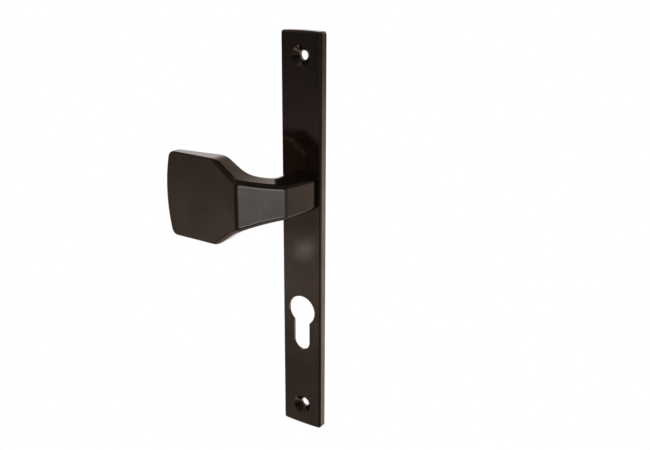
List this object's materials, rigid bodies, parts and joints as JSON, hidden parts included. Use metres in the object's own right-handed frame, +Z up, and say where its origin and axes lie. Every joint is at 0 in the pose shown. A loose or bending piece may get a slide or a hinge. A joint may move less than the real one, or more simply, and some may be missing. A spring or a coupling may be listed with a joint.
{
  "type": "door handle on backplate",
  "caption": "Sprung lever door handle on a narrow backplate: slanted arm with a grey inlay, broad paddle, Euro cylinder cut-out and countersunk fixing holes.",
  "frame": {"origin": "on the lever's turning axis, at the mouth of the spindle socket, on the plane of the door's face", "axes": "+X to the right seen from the room, +Y into the door, +Z up"},
  "size_m": [0.0741, 0.0487, 0.235],
  "materials": {
    "brown_coat": "semi-gloss dark brown coat on a zinc casting",
    "grey_inlay": "satin titanium grey",
    "bearing_polymer": "natural moulded polymer",
    "steel": "zinc plated",
    "spring_steel": "bright spring steel",
    "black_steel": "black oxide"
  },
  "bodies": {
    "plate": {"backplate": "brown_coat", "bearing_bush": "bearing_polymer", "return_spring": "spring_steel", "spring_retainer": "spring_steel"},
    "handle": {"lever": "brown_coat", "grip_insert": "grey_inlay", "grub_screw": "black_steel", "driver_cam": "steel", "shim_washer": "steel", "retaining_ring": "spring_steel"}
  },
  "joints": [
    {"name": "lever_turn", "type": "hinge", "parent": "plate", "child": "handle", "pos_m": [0, 0, 0], "axis": [0, -1, 0], "range_deg": [0, 45], "stiffness_Nm_per_rad": 1.2, "springref_deg": -20.05, "deforming": ["return_spring"]}
  ]
}
